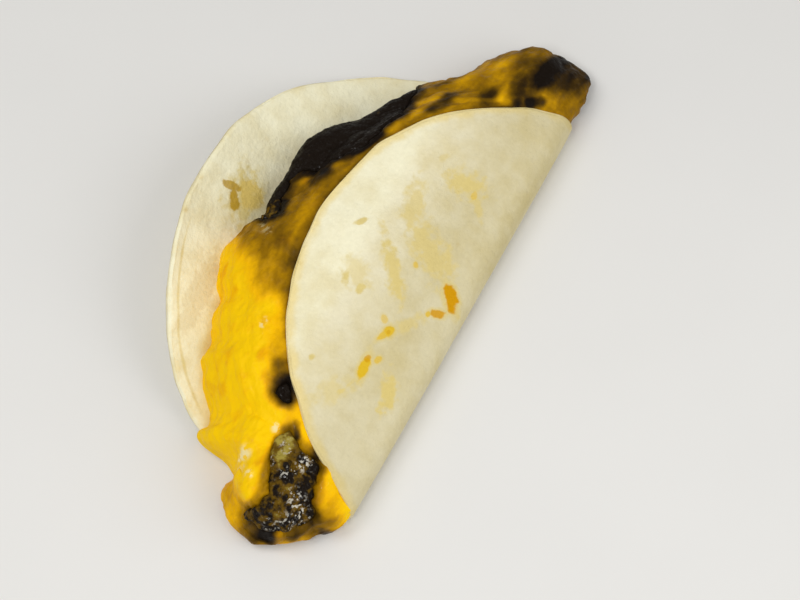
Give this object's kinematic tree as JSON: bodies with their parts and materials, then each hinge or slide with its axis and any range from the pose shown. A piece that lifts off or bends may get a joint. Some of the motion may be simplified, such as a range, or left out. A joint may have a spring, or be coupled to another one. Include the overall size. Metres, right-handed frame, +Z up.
{
  "type": "bean and cheese taco",
  "caption": "Soft flour tortilla folded over black beans and melted cheese, lying on its longer flap, with the filling spilling from both ends; a hand-held meal.",
  "frame": {"origin": "centre of the bounding box's base, where the lower flap rests", "axes": "+X along the fold, +Y from the fold to the open side, +Z up"},
  "size_m": [0.1826, 0.0872, 0.0289],
  "materials": {
    "tortilla": "soft, floury, warm white with toasted spots",
    "cheese": "melted, glossy, deep yellow to amber",
    "beans": "wet, lumpy, nearly black with olive smears"
  },
  "bodies": {
    "root": {"tortilla": "tortilla", "cheese": "cheese", "beans": "beans"}
  },
  "joints": []
}
